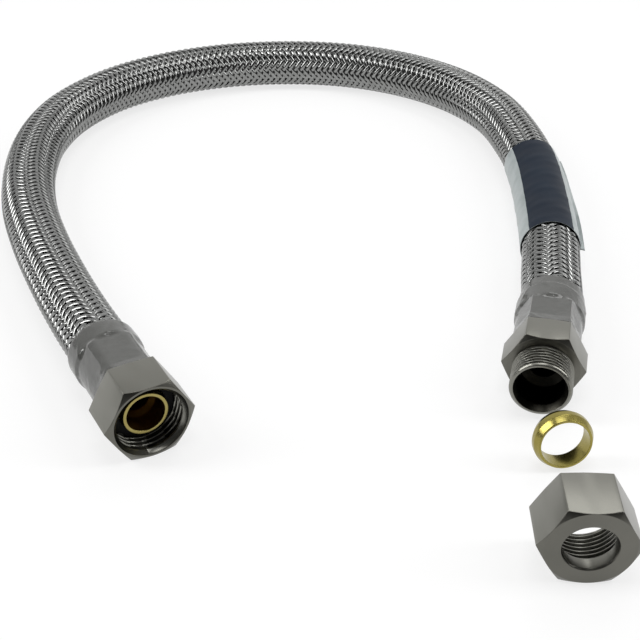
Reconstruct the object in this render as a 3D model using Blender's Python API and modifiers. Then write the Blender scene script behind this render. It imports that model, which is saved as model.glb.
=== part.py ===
"""Stainless braided faucet connector with a swivel nut at one end and a compression end at the other.

The hose lies on the floor in an open loop. Its compression sleeve and compression nut are off, and lie
in front of the fitting that they belong to. Metres, +Z up, origin at the middle of the floor under it.
"""
import math

import bmesh
import bpy
from mathutils import Matrix, Vector

MM = 0.001

# Clearances between neighbours: fixed pieces, and pieces that turn on each other
FIXED_GAP = 0.25 * MM
RUNNING_GAP = 0.35 * MM
TURNED_STEPS = 30

# Hose
BRAID_RADIUS = 9.3 * MM
BRAID_WALL = 0.7 * MM
TUBE_WALL = 1.85 * MM
CRIMP_SQUEEZE = 1.15 * MM
HOSE_STEP = 12.0 * MM
STEPS_PER_ROUTE_SPAN = 24

# Bores and barbs shared by the two fittings
BARB_WALL = 1.1 * MM
BARB_LENGTH = 16.5 * MM
BARB_RIDGE = 0.4 * MM
BARB_RIDGES = 3

# Crimped ferrule, measured back from its front face
FERRULE_WALL = 0.35 * MM
FERRULE_FLANGE = 0.5 * MM
CRIMP_LENGTH = 8.0 * MM
FLARE_LENGTH = 3.5 * MM
BRAID_LAG = 0.8 * MM
FERRULE_LENGTH = 17.8 * MM
LIP_LENGTH = 1.0 * MM

# Clear plastic end sleeve over each ferrule
FILM_WALL = 0.2 * MM
FILM_LENGTH = 24.5 * MM
FILM_STEP = 0.2 * MM
FILM_CLEARANCE = 0.2 * MM

# Supply pipe that the compression end takes, with its clearance in the bores that it passes through
PIPE_RADIUS = 6.35 * MM
PIPE_CLEARANCE = 0.2 * MM

# Compression sleeve, whose outside seats in the mouth of the male fitting
SLEEVE_WALL = 1.2 * MM
SLEEVE_WIDTH = 5.0 * MM
SLEEVE_BAND = 2.0 * MM
SLEEVE_TAPER = 0.6 * MM

# Male compression fitting, measured from the front face of its hexagon
MALE_THREAD_WALL = 1.1 * MM
MALE_HEX_STEP = 1.65 * MM
MALE_HEX_LENGTH = 10.0 * MM
MALE_THREAD_LENGTH = 10.0 * MM
THREAD_HEIGHT = 0.5 * MM
THREAD_RELIEF = 0.7 * MM
RELIEF_LENGTH = 1.2 * MM
MOUTH_CHAMFER = 0.6 * MM
SOCKET_DEPTH = 10.5 * MM
SEAT_DEPTH = 2.1 * MM
COLLAR_LENGTH = 1.6 * MM
COLLAR_STEP = 1.35 * MM

# Swivel nut, measured back from its mouth
SWIVEL_BORE_RADIUS = 9.45 * MM
SWIVEL_THREAD_HEIGHT = 1.0 * MM
SWIVEL_WALL = 0.65 * MM
SWIVEL_HEX_LENGTH = 13.1 * MM
SWIVEL_COLLAR_LENGTH = 4.5 * MM
SWIVEL_COLLAR_STEP = 0.35 * MM
SWIVEL_WEB = 1.65 * MM

# Stem that the swivel nut turns on
NOSE_STEP = 2.75 * MM
NOSE_WALL = 1.0 * MM
NOSE_LENGTH = 5.2 * MM
FLANGE_THICKNESS = 1.9 * MM
NECK_STEP = 0.7 * MM
WASHER_THICKNESS = 2.2 * MM
NUT_TRAVEL = 1.2 * MM

# Loose compression nut, measured back from its tube end
LOOSE_WALL = 2.05 * MM
LOOSE_LENGTH = 14.2 * MM
LOOSE_HOLE_LENGTH = 3.6 * MM
LOOSE_CONE_LENGTH = 1.7 * MM
HEX_CHAMFER = 1.0 * MM

# Wrapped label with its two ends stuck together as a flag
LABEL_WALL = 0.15 * MM
LABEL_FLAG = 1.4 * MM
LABEL_ARC_POINTS = 17
LABEL_START = 451.0 * MM
LABEL_LENGTH = 61.0 * MM
LABEL_POINTS = 12

# Places on the floor, and headings of the open mouths, in degrees from -Y towards +X
SWIVEL_MOUTH = (-30.5 * MM, -106.9 * MM)
SWIVEL_HEADING = 28.7
MALE_HEX_FACE = (75.6 * MM, -82.2 * MM)
MALE_HEADING = -13.0
LOOSE_NUT_FACE = (75.6 * MM, -152.9 * MM)
LOOSE_NUT_HEADING = -1.4
SLEEVE_CENTRE = (76.6 * MM, -110.0 * MM)
SLEEVE_HEADING = 17.0

# Free run of the hose from the swivel ferrule to the male ferrule: X, Y and the lift off the floor, in mm
ROUTE = [
    (-58.1, -55.6, 0.9),
    (-67.7, -35.6, 0.4),
    (-78.1, -11.6, 0.1),
    (-86.8, 13.4, 0.02),
    (-91.8, 39.4, 0.0),
    (-92.4, 65.9, 0.0),
    (-86.5, 91.4, 0.0),
    (-72.5, 113.9, 0.0),
    (-52.0, 130.4, 0.0),
    (-27.5, 140.4, 0.0),
    (-1.0, 143.9, 0.0),
    (25.0, 140.9, 0.0),
    (49.5, 130.4, 0.0),
    (69.5, 113.4, 0.0),
    (82.7, 90.4, 0.3),
    (88.6, 64.9, 0.6),
    (91.0, 38.9, 0.6),
    (90.3, 11.9, 0.6),
    (88.3, -14.6, 0.7),
    (85.8, -31.6, 0.9),
]

for old in list(bpy.data.objects):
    bpy.data.objects.remove(old, do_unlink=True)
parts = bpy.data.collections.new("braided_faucet_hose")
cutters = bpy.data.collections.new("cutters")
guides = bpy.data.collections.new("guides")
for collection in (parts, cutters, guides):
    bpy.context.scene.collection.children.link(collection)


def make_material(name, colour, metallic, roughness):
    """Principled material with one colour."""
    material = bpy.data.materials.new(name)
    material.use_nodes = True
    shader = material.node_tree.nodes["Principled BSDF"]
    shader.inputs["Base Color"].default_value = (*colour, 1.0)
    shader.inputs["Metallic"].default_value = metallic
    shader.inputs["Roughness"].default_value = roughness
    return material


def direction(heading):
    """Level unit vector at this heading from -Y towards +X."""
    angle = math.radians(heading)
    return Vector((math.sin(angle), -math.cos(angle), 0.0))


def make_frame(name, place, height, heading):
    """Empty whose +Z points out of a fitting's mouth and whose +X points up."""
    empty = bpy.data.objects.new(name, None)
    guides.objects.link(empty)
    outward = direction(heading)
    upward = Vector((0.0, 0.0, 1.0))
    sideways = outward.cross(upward)
    axes = Matrix((upward, sideways, outward)).transposed()
    empty.location = (place[0], place[1], height)
    empty.rotation_euler = axes.to_euler()
    return empty


def place_object(name, data, frame, collection, material=None):
    """Link a new object under its frame."""
    item = bpy.data.objects.new(name, data)
    collection.objects.link(item)
    item.parent = frame
    if material:
        data.materials.append(material)
    if collection is cutters:
        item.hide_render = True
        item.display_type = "WIRE"
    return item


def shade(data):
    """Smooth round faces and keep the turned edges crisp."""
    data.shade_smooth()
    data.set_sharp_from_angle(angle=math.radians(35.0))


def turn(name, profile, frame, collection, material=None, closed=True):
    """Turn a profile of (radius, height) about the frame's +Z. It runs down the outside first."""
    mesh = bpy.data.meshes.new(name)
    points = [(radius, 0.0, height) for radius, height in profile]
    edges = [(i, i + 1) for i in range(len(points) - 1)]
    if closed:
        edges.append((len(points) - 1, 0))
    mesh.from_pydata(points, edges, [])
    item = place_object(name, mesh, frame, collection, material)
    screw = item.modifiers.new("turn", "SCREW")
    screw.axis = "Z"
    screw.angle = math.tau
    screw.steps = TURNED_STEPS
    screw.render_steps = TURNED_STEPS
    screw.use_merge_vertices = True
    screw.merge_threshold = 0.00001
    screw.use_smooth_shade = True
    return item


def combine(item, operation, other):
    """Add an exact Boolean."""
    boolean = item.modifiers.new(operation.lower(), "BOOLEAN")
    boolean.operation = operation
    boolean.solver = "EXACT"
    boolean.object = other


def make_hexagon(name, flats, top, bottom, chamfer, frame, collection, material=None):
    """Hexagonal bar with a flat upward, its corners turned off at both faces."""
    mesh = bpy.data.meshes.new(name)
    bar = bmesh.new()
    corner = flats / math.sqrt(3.0)
    bmesh.ops.create_cone(
        bar, cap_ends=True, segments=6, radius1=corner, radius2=corner, depth=top - bottom
    )
    bmesh.ops.translate(bar, verts=bar.verts, vec=(0.0, 0.0, (top + bottom) / 2))
    bar.to_mesh(mesh)
    bar.free()
    item = place_object(name, mesh, frame, collection, material)
    flat = flats / 2 - 0.1 * MM
    reach = corner - flat + 0.5 * MM
    drop = reach * chamfer / (corner - flat)
    blank = [
        (0.0, top + chamfer / 5),
        (flat, top + chamfer / 5),
        (flat + reach, top - drop + chamfer / 5),
        (flat + reach, bottom + drop - chamfer / 5),
        (flat, bottom - chamfer / 5),
        (0.0, bottom - chamfer / 5),
    ]
    combine(item, "INTERSECT", turn(name + "_blank", blank, frame, cutters, closed=False))
    return item


def barb_profile(root, first_depth):
    """Outside of the barb from its root down to its tip, with saw-tooth ridges."""
    pitch = BARB_LENGTH / (BARB_RIDGES + 1)
    points = [(root, -first_depth)]
    for i in range(BARB_RIDGES):
        depth = first_depth + pitch * (i + 0.8)
        points += [(root, -depth), (root - BARB_RIDGE, -depth - 0.2 * MM)]
        points += [(root - BARB_RIDGE, -depth - 0.6 * MM), (root, -depth - 1.6 * MM)]
    points += [(root, -first_depth - BARB_LENGTH + 1.5 * MM)]
    points += [(root - 2 * BARB_RIDGE, -first_depth - BARB_LENGTH)]
    return points


# Radii inside the crimp follow from the braid, one wall and one gap at a time. Each hexagon follows from
# the thread inside or in front of it, and the compression end from the pipe that it takes.
BRAID_INNER = BRAID_RADIUS - BRAID_WALL
TUBE_RADIUS = BRAID_INNER - FIXED_GAP
CRIMPED_BRAID = BRAID_RADIUS - CRIMP_SQUEEZE
CRIMPED_BORE = TUBE_RADIUS - CRIMP_SQUEEZE - TUBE_WALL
BARB_RADIUS = CRIMPED_BORE - RUNNING_GAP
WATERWAY_RADIUS = BARB_RADIUS - BARB_WALL
FERRULE_NECK = CRIMPED_BRAID + FIXED_GAP + FERRULE_WALL
FERRULE_RADIUS = BRAID_RADIUS + FIXED_GAP + FERRULE_WALL
FILM_NECK = FERRULE_NECK + FIXED_GAP + FILM_WALL
FILM_RADIUS = FERRULE_RADIUS + FILM_CLEARANCE + FILM_WALL
FILM_START_RADIUS = FERRULE_RADIUS - FILM_STEP
FILM_END = BRAID_RADIUS + FIXED_GAP + FILM_WALL
SLEEVE_BORE = PIPE_RADIUS + PIPE_CLEARANCE
SLEEVE_RADIUS = SLEEVE_BORE + SLEEVE_WALL
SOCKET_RADIUS = PIPE_RADIUS + PIPE_CLEARANCE / 2
SEAT_MOUTH_RADIUS = SLEEVE_RADIUS - PIPE_CLEARANCE
MALE_THREAD_RADIUS = SEAT_MOUTH_RADIUS + MALE_THREAD_WALL
MALE_HEX_FLATS = 2 * (MALE_THREAD_RADIUS + MALE_HEX_STEP)
COLLAR_RADIUS = FERRULE_NECK - COLLAR_STEP
MALE_FERRULE_DEPTH = MALE_HEX_LENGTH + COLLAR_LENGTH + 0.3 * MM
MALE_FILM_DEPTH = MALE_HEX_LENGTH + 0.3 * MM
LOOSE_HOLE_RADIUS = PIPE_RADIUS + PIPE_CLEARANCE
LOOSE_THREAD_RADIUS = MALE_THREAD_RADIUS - THREAD_HEIGHT
LOOSE_MOUTH_RADIUS = MALE_THREAD_RADIUS + PIPE_CLEARANCE
LOOSE_FLATS = 2 * (LOOSE_MOUTH_RADIUS + LOOSE_WALL)
SWIVEL_MOUTH_RADIUS = SWIVEL_BORE_RADIUS + SWIVEL_THREAD_HEIGHT
SWIVEL_FLATS = 2 * (SWIVEL_MOUTH_RADIUS + SWIVEL_WALL)
SWIVEL_COLLAR_RADIUS = FERRULE_NECK - SWIVEL_COLLAR_STEP
SWIVEL_LENGTH = SWIVEL_HEX_LENGTH + SWIVEL_COLLAR_LENGTH
SWIVEL_SHOULDER_DEPTH = SWIVEL_HEX_LENGTH - SWIVEL_WEB
SWIVEL_FERRULE_DEPTH = SWIVEL_LENGTH + NUT_TRAVEL
SWIVEL_FILM_DEPTH = SWIVEL_HEX_LENGTH + 0.5 * MM
NOSE_RADIUS = SWIVEL_BORE_RADIUS - NOSE_STEP
NECK_RADIUS = NOSE_RADIUS - NECK_STEP


def make_ferrule(name, depth, frame, material):
    """Thin stainless cup that is crimped on the barb, left wider towards the hose."""
    hole = BARB_RADIUS + RUNNING_GAP
    front = -depth
    crimp_end = front - CRIMP_LENGTH
    flare_end = crimp_end - FLARE_LENGTH
    back = front - FERRULE_LENGTH
    wall = FERRULE_WALL
    outside = [
        (hole, front),
        (FERRULE_NECK - 0.4 * MM, front),
        (FERRULE_NECK, front - 0.4 * MM),
        (FERRULE_NECK, crimp_end),
        (FERRULE_NECK + 0.25 * (FERRULE_RADIUS - FERRULE_NECK), crimp_end - 0.4 * FLARE_LENGTH),
        (FERRULE_RADIUS, flare_end),
        (FERRULE_RADIUS, back + LIP_LENGTH),
        (FERRULE_RADIUS - 0.1 * MM, back),
    ]
    inside = [
        (FERRULE_RADIUS - wall, back),
        (FERRULE_RADIUS - wall, flare_end - 0.1 * MM),
        (FERRULE_NECK - wall + 0.25 * (FERRULE_RADIUS - FERRULE_NECK), crimp_end - 0.4 * FLARE_LENGTH),
        (FERRULE_NECK - wall, crimp_end),
        (FERRULE_NECK - wall, front - FERRULE_FLANGE),
        (hole, front - FERRULE_FLANGE),
    ]
    item = turn(name, outside + inside, frame, parts, material)
    return item


def make_film(name, start, depth, frame, material):
    """Clear shrunk sleeve from the back of the hexagon over the ferrule on to the braid."""
    crimp_end = -depth - CRIMP_LENGTH
    flare_end = crimp_end - FLARE_LENGTH
    back = -depth - FERRULE_LENGTH
    end = -start - FILM_LENGTH
    outside = [
        (FILM_START_RADIUS, -start),
        (FILM_NECK, -start - 3.0 * MM),
        (FILM_NECK, crimp_end + 0.3 * MM),
        (FILM_NECK + 0.3 * (FILM_RADIUS - FILM_NECK), crimp_end - 0.35 * FLARE_LENGTH),
        (FILM_RADIUS, flare_end + 0.2 * MM),
        (FILM_RADIUS, back),
        (FILM_END, back - 1.0 * MM),
        (FILM_END, end),
    ]
    inside = [(radius - FILM_WALL, height) for radius, height in reversed(outside)]
    return turn(name, outside + inside, frame, parts, material)


# Swept pieces share one smooth centreline
def route_points():
    """Route with the straight runs through both fittings, and the depth of each straight point."""
    swivel = swivel_frame.location
    swivel_out = direction(SWIVEL_HEADING)
    male = male_frame.location
    male_out = direction(MALE_HEADING)
    swivel_start = SWIVEL_FERRULE_DEPTH + FERRULE_FLANGE + FIXED_GAP
    male_start = MALE_FERRULE_DEPTH + FERRULE_FLANGE + FIXED_GAP
    swivel_run = [swivel_start, SWIVEL_FERRULE_DEPTH + CRIMP_LENGTH, SWIVEL_FILM_DEPTH + FILM_LENGTH]
    male_run = [MALE_FILM_DEPTH + FILM_LENGTH, MALE_FERRULE_DEPTH + CRIMP_LENGTH, male_start]
    first = [swivel - swivel_out * depth for depth in swivel_run]
    middle = [Vector((x * MM, y * MM, BRAID_RADIUS + lift * MM)) for x, y, lift in ROUTE]
    last = [male - male_out * depth for depth in male_run]
    return first, middle, last


def hermite(start, end, leave, arrive, share):
    """Point on a cubic between two points with given end slopes."""
    square = share * share
    cube = square * share
    return (
        start * (2 * cube - 3 * square + 1)
        + leave * (cube - 2 * square + share)
        + end * (3 * square - 2 * cube)
        + arrive * (cube - square)
    )


def smooth_line(points, leave, arrive):
    """Dense smooth line through the points, straight at both ends."""
    slopes = [leave * (points[1] - points[0]).length]
    for i in range(1, len(points) - 1):
        slopes.append((points[i + 1] - points[i - 1]) / 2)
    slopes.append(arrive * (points[-1] - points[-2]).length)
    line = []
    for i in range(len(points) - 1):
        for j in range(STEPS_PER_ROUTE_SPAN):
            share = j / STEPS_PER_ROUTE_SPAN
            line.append(hermite(points[i], points[i + 1], slopes[i], slopes[i + 1], share))
    line.append(points[-1])
    return line


def resample(line, start, end, count):
    """Points at even distances along a dense line."""
    distances = [0.0]
    for before, after in zip(line, line[1:]):
        distances.append(distances[-1] + (after - before).length)
    end = distances[-1] if end is None else end
    result = []
    index = 0
    for i in range(count):
        wanted = start + (end - start) * i / (count - 1)
        while index < len(distances) - 2 and distances[index + 1] < wanted:
            index += 1
        span = distances[index + 1] - distances[index]
        share = min(max((wanted - distances[index]) / span, 0.0), 1.0)
        result.append(line[index].lerp(line[index + 1], share))
    return result


def line_length(line):
    """Length of a polyline."""
    return sum((after - before).length for before, after in zip(line, line[1:]))


def sweep(name, points, radii, collection, material, depth=0.0, resolution=4, outline=None):
    """Open tube, or an open swept outline, along the points."""
    curve = bpy.data.curves.new(name, "CURVE")
    curve.dimensions = "3D"
    curve.twist_mode = "Z_UP"
    spline = curve.splines.new("POLY")
    spline.points.add(len(points) - 1)
    for target, point, radius in zip(spline.points, points, radii):
        target.co = (*point, 1.0)
        target.radius = radius
    if outline:
        curve.bevel_mode = "OBJECT"
        curve.bevel_object = outline
    else:
        curve.bevel_depth = depth
        curve.bevel_resolution = resolution
    return place_object(name, curve, None, collection, material)


def thicken(item, wall):
    """Give an open surface its wall, inward."""
    solid = item.modifiers.new("wall", "SOLIDIFY")
    solid.thickness = wall
    solid.offset = -1.0
    solid.use_even_offset = True


stainless = make_material("stainless_braid", (0.55, 0.55, 0.54), 1.0, 0.35)
crimped_steel = make_material("crimped_steel", (0.5, 0.5, 0.48), 1.0, 0.35)
nickel = make_material("nickel_plate", (0.5, 0.49, 0.46), 1.0, 0.28)
brass = make_material("brass", (0.75, 0.6, 0.25), 1.0, 0.3)
rubber = make_material("black_rubber", (0.02, 0.02, 0.02), 0.0, 0.6)
inner_rubber = make_material("inner_tube", (0.03, 0.03, 0.03), 0.0, 0.5)
clear_film = make_material("clear_film", (0.8, 0.8, 0.8), 0.0, 0.15)
label_film = make_material("label_film", (0.05, 0.07, 0.12), 0.0, 0.35)

# Each end lies on its hexagon, or on its film where that is the wider
swivel_rest = max(SWIVEL_FLATS / 2, FILM_RADIUS)
male_rest = max(MALE_HEX_FLATS / 2, FILM_RADIUS)
swivel_frame = make_frame("swivel_end", SWIVEL_MOUTH, swivel_rest, SWIVEL_HEADING)
male_frame = make_frame("male_end", MALE_HEX_FACE, male_rest, MALE_HEADING)
loose_frame = make_frame("loose_nut", LOOSE_NUT_FACE, LOOSE_FLATS / 2, LOOSE_NUT_HEADING)
sleeve_frame = make_frame("loose_sleeve", SLEEVE_CENTRE, SLEEVE_RADIUS, SLEEVE_HEADING)

# Male fitting: hexagon, threaded end, collar and barb turned from one bar
male = make_hexagon(
    "male_fitting", MALE_HEX_FLATS, 0.0, -MALE_HEX_LENGTH, HEX_CHAMFER, male_frame, parts, nickel
)
thread_root = MALE_THREAD_RADIUS - THREAD_RELIEF
male_turned = [
    (0.0, MALE_THREAD_LENGTH),
    (MALE_THREAD_RADIUS - MOUTH_CHAMFER, MALE_THREAD_LENGTH),
    (MALE_THREAD_RADIUS, MALE_THREAD_LENGTH - MOUTH_CHAMFER),
    (MALE_THREAD_RADIUS, RELIEF_LENGTH),
    (thread_root, RELIEF_LENGTH - 0.5 * MM),
    (thread_root, -MALE_HEX_LENGTH / 2),
    (COLLAR_RADIUS, -MALE_HEX_LENGTH / 2),
    (COLLAR_RADIUS, -MALE_HEX_LENGTH - COLLAR_LENGTH),
]
male_turned += barb_profile(BARB_RADIUS, MALE_HEX_LENGTH + COLLAR_LENGTH)
male_turned.append((0.0, male_turned[-1][1]))
male_bore = [
    (0.0, MALE_THREAD_LENGTH + MM),
    (SEAT_MOUTH_RADIUS, MALE_THREAD_LENGTH + MM),
    (SEAT_MOUTH_RADIUS, MALE_THREAD_LENGTH),
    (SOCKET_RADIUS, MALE_THREAD_LENGTH - SEAT_DEPTH),
    (SOCKET_RADIUS, MALE_THREAD_LENGTH - SOCKET_DEPTH),
    (WATERWAY_RADIUS, MALE_THREAD_LENGTH - SOCKET_DEPTH - 1.2 * MM),
    (WATERWAY_RADIUS, male_turned[-1][1] - MM),
    (0.0, male_turned[-1][1] - MM),
]
combine(male, "UNION", turn("male_turned", male_turned, male_frame, cutters, closed=False))
combine(male, "DIFFERENCE", turn("male_bore", male_bore, male_frame, cutters, closed=False))

# Swivel stem: thin nose, flange that the nut pulls on, neck and barb
flange_front = -SWIVEL_SHOULDER_DEPTH + FIXED_GAP + FLANGE_THICKNESS
flange_back = flange_front - FLANGE_THICKNESS
nose_end = flange_front + NOSE_LENGTH
flange_radius = SWIVEL_BORE_RADIUS - RUNNING_GAP
stem_root = SWIVEL_FERRULE_DEPTH - 0.3 * MM
barb = barb_profile(BARB_RADIUS, stem_root)
stem_outside = [
    (NOSE_RADIUS - 0.2 * MM, nose_end),
    (NOSE_RADIUS, nose_end - 0.2 * MM),
    (NOSE_RADIUS, flange_front),
    (flange_radius, flange_front),
    (flange_radius, flange_back),
    (NECK_RADIUS, flange_back),
    (NECK_RADIUS, -stem_root),
]
stem_inside = [
    (WATERWAY_RADIUS, barb[-1][1]),
    (WATERWAY_RADIUS, flange_back - 0.6 * MM),
    (NOSE_RADIUS - NOSE_WALL - 0.2 * MM, flange_back + 0.6 * MM),
    (NOSE_RADIUS - NOSE_WALL, flange_back + 0.9 * MM),
    (NOSE_RADIUS - NOSE_WALL, nose_end),
]
turn("swivel_stem", stem_outside + barb + stem_inside, swivel_frame, parts, brass)

# Flat rubber washer on the flange, around the nose
washer_back = flange_front + FIXED_GAP
washer = [
    (flange_radius, washer_back + WASHER_THICKNESS),
    (flange_radius, washer_back),
    (NOSE_RADIUS + FIXED_GAP, washer_back),
    (NOSE_RADIUS + FIXED_GAP, washer_back + WASHER_THICKNESS),
]
turn("seat_washer", washer, swivel_frame, parts, rubber)

# Swivel nut: hexagon with a round collar behind it, which turns freely on the stem
swivel = make_hexagon(
    "swivel_nut", SWIVEL_FLATS, 0.0, -SWIVEL_HEX_LENGTH, HEX_CHAMFER, swivel_frame, parts, nickel
)
swivel_collar = [
    (0.0, -SWIVEL_HEX_LENGTH / 2),
    (SWIVEL_COLLAR_RADIUS, -SWIVEL_HEX_LENGTH / 2),
    (SWIVEL_COLLAR_RADIUS, -SWIVEL_LENGTH + 0.6 * MM),
    (SWIVEL_COLLAR_RADIUS - 0.6 * MM, -SWIVEL_LENGTH),
    (0.0, -SWIVEL_LENGTH),
]
swivel_bore = [
    (0.0, MM),
    (SWIVEL_MOUTH_RADIUS, MM),
    (SWIVEL_MOUTH_RADIUS, -0.2 * MM),
    (SWIVEL_BORE_RADIUS, -1.3 * MM),
    (SWIVEL_BORE_RADIUS, -SWIVEL_SHOULDER_DEPTH),
    (NECK_RADIUS + RUNNING_GAP, -SWIVEL_SHOULDER_DEPTH),
    (NECK_RADIUS + RUNNING_GAP, -SWIVEL_LENGTH - MM),
    (0.0, -SWIVEL_LENGTH - MM),
]
combine(swivel, "UNION", turn("swivel_collar", swivel_collar, swivel_frame, cutters, closed=False))
combine(swivel, "DIFFERENCE", turn("swivel_bore", swivel_bore, swivel_frame, cutters, closed=False))

# Ferrules and their clear sleeves
make_ferrule("swivel_ferrule", SWIVEL_FERRULE_DEPTH, swivel_frame, crimped_steel)
make_ferrule("male_ferrule", MALE_FERRULE_DEPTH, male_frame, crimped_steel)
make_film("swivel_film", SWIVEL_FILM_DEPTH, SWIVEL_FERRULE_DEPTH, swivel_frame, clear_film)
make_film("male_film", MALE_FILM_DEPTH, MALE_FERRULE_DEPTH, male_frame, clear_film)

# Braid and inner tube, squeezed at both ends where the ferrules hold them on the barbs
first_run, free_run, last_run = route_points()
centreline = smooth_line(
    first_run + free_run + last_run, -direction(SWIVEL_HEADING), direction(MALE_HEADING)
)
hose_length = line_length(centreline)
crimped_run = CRIMP_LENGTH - FERRULE_FLANGE - FIXED_GAP + BRAID_LAG / 2
flared_run = crimped_run + FLARE_LENGTH + BRAID_LAG
free_count = max(8, round((hose_length - 2 * flared_run) / HOSE_STEP) + 1)
hose_points = resample(centreline, 0.0, crimped_run, 2)
hose_points += resample(centreline, flared_run, hose_length - flared_run, free_count)
hose_points += resample(centreline, hose_length - crimped_run, hose_length, 2)


def squeezed_radii(radius):
    """Radius at each hose point, less at the two points at each end."""
    radii = [radius] * len(hose_points)
    for i in (0, 1, -2, -1):
        radii[i] = radius - CRIMP_SQUEEZE
    return radii


braid_hose = sweep(
    "braid_sleeve", hose_points, [r / BRAID_RADIUS for r in squeezed_radii(BRAID_RADIUS)],
    parts, stainless, depth=BRAID_RADIUS, resolution=6,
)
thicken(braid_hose, BRAID_WALL)
inner_hose = sweep(
    "inner_tube", hose_points, [r / TUBE_RADIUS for r in squeezed_radii(TUBE_RADIUS)],
    parts, inner_rubber, depth=TUBE_RADIUS, resolution=4,
)
thicken(inner_hose, TUBE_WALL)

# Label: a printed strip once round the braid, its ends stuck together as a flag on the outer side
label_radius = BRAID_RADIUS + FIXED_GAP + LABEL_WALL
flag_half = 1.5 * LABEL_WALL
flag_angle = math.asin(flag_half / label_radius)
outline_points = [(-label_radius - LABEL_FLAG, -flag_half)]
for step in range(LABEL_ARC_POINTS):
    angle = flag_angle + (math.tau - 2 * flag_angle) * step / (LABEL_ARC_POINTS - 1)
    outline_points.append((-label_radius * math.cos(angle), -label_radius * math.sin(angle)))
outline_points.append((-label_radius - LABEL_FLAG, flag_half))
outline_curve = bpy.data.curves.new("label_outline", "CURVE")
outline_spline = outline_curve.splines.new("POLY")
outline_spline.points.add(len(outline_points) - 1)
for target, (across, up) in zip(outline_spline.points, outline_points):
    target.co = (across, up, 0.0, 1.0)
label_outline = place_object("label_outline", outline_curve, None, cutters)
label_points = resample(centreline, LABEL_START, LABEL_START + LABEL_LENGTH, LABEL_POINTS)
label = sweep("label_wrap", label_points, [1.0] * LABEL_POINTS, parts, label_film, outline=label_outline)
thicken(label, LABEL_WALL)

# Loose compression nut, thread end towards the hose
loose = make_hexagon(
    "compression_nut", LOOSE_FLATS, 0.0, -LOOSE_LENGTH, HEX_CHAMFER, loose_frame, parts, nickel
)
loose_bore = [
    (0.0, MM),
    (LOOSE_HOLE_RADIUS + 0.3 * MM, MM),
    (LOOSE_HOLE_RADIUS + 0.3 * MM, -0.1 * MM),
    (LOOSE_HOLE_RADIUS, -0.5 * MM),
    (LOOSE_HOLE_RADIUS, -LOOSE_HOLE_LENGTH),
    (LOOSE_THREAD_RADIUS, -LOOSE_HOLE_LENGTH - LOOSE_CONE_LENGTH),
    (LOOSE_THREAD_RADIUS, -LOOSE_LENGTH + 1.0 * MM),
    (LOOSE_MOUTH_RADIUS, -LOOSE_LENGTH + 0.1 * MM),
    (LOOSE_MOUTH_RADIUS, -LOOSE_LENGTH - MM),
    (0.0, -LOOSE_LENGTH - MM),
]
combine(loose, "DIFFERENCE", turn("loose_bore", loose_bore, loose_frame, cutters, closed=False))

# Loose brass sleeve with both ends tapered
sleeve = [
    (SLEEVE_RADIUS - SLEEVE_TAPER, SLEEVE_WIDTH / 2),
    (SLEEVE_RADIUS, SLEEVE_BAND / 2),
    (SLEEVE_RADIUS, -SLEEVE_BAND / 2),
    (SLEEVE_RADIUS - SLEEVE_TAPER, -SLEEVE_WIDTH / 2),
    (SLEEVE_BORE, -SLEEVE_WIDTH / 2),
    (SLEEVE_BORE, SLEEVE_WIDTH / 2),
]
turn("compression_sleeve", sleeve, sleeve_frame, parts, brass)

for item in parts.objects:
    if item.type == "MESH":
        shade(item.data)
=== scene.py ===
"""Braided faucet hose, lying in an open loop, its compression sleeve and nut taken off in front of it."""
import math

import bmesh
import bpy
import numpy as np
from mathutils import Matrix, Vector


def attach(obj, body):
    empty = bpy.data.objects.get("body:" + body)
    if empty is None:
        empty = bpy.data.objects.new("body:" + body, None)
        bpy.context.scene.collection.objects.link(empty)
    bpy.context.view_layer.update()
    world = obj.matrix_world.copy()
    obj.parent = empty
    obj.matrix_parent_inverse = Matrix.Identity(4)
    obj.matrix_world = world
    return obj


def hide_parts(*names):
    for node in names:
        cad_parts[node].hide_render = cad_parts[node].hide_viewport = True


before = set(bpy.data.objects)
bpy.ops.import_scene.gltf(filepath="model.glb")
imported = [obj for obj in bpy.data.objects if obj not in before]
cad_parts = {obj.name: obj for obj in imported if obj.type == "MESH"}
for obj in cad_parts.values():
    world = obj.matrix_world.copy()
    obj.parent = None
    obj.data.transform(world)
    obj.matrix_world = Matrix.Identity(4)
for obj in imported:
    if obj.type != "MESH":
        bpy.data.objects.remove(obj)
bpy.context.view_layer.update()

# Inner tube: black synthetic rubber, extruded smooth. It runs from barb to barb on the hose's centreline
# and shows only as black through the gaps of the braid. Both ends are squeezed on to the barbs.
MM = 0.001
SWIVEL_MOUTH = (-30.5, -106.9)
SWIVEL_HEADING = 28.7
SWIVEL_HEIGHT = 11.1
MALE_HEX_FACE = (75.6, -82.2)
MALE_HEADING = -13.0
MALE_HEIGHT = 10.3
SWIVEL_RUN = (19.55, 26.8, 38.1)
MALE_RUN = (34.8, 19.9, 12.65)
ROUTE = [
    (-58.1, -55.6, 10.2),
    (-67.7, -35.6, 9.7),
    (-78.1, -11.6, 9.4),
    (-86.8, 13.4, 9.32),
    (-91.8, 39.4, 9.3),
    (-92.4, 65.9, 9.3),
    (-86.5, 91.4, 9.3),
    (-72.5, 113.9, 9.3),
    (-52.0, 130.4, 9.3),
    (-27.5, 140.4, 9.3),
    (-1.0, 143.9, 9.3),
    (25.0, 140.9, 9.3),
    (49.5, 130.4, 9.3),
    (69.5, 113.4, 9.3),
    (82.7, 90.4, 9.6),
    (88.6, 64.9, 9.9),
    (91.0, 38.9, 9.9),
    (90.3, 11.9, 9.9),
    (88.3, -14.6, 10.0),
    (85.8, -31.6, 10.2),
]
TUBE_OUTER = 8.35
TUBE_INNER = 6.5
SQUEEZE = 1.15
SQUEEZED_RUN = 7.65
SQUEEZE_END = 11.95
LINE_STEPS = 24
TUBE_RINGS = 240
TUBE_SIDES = 28
CRISP_ANGLE = math.radians(48.0)
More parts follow.
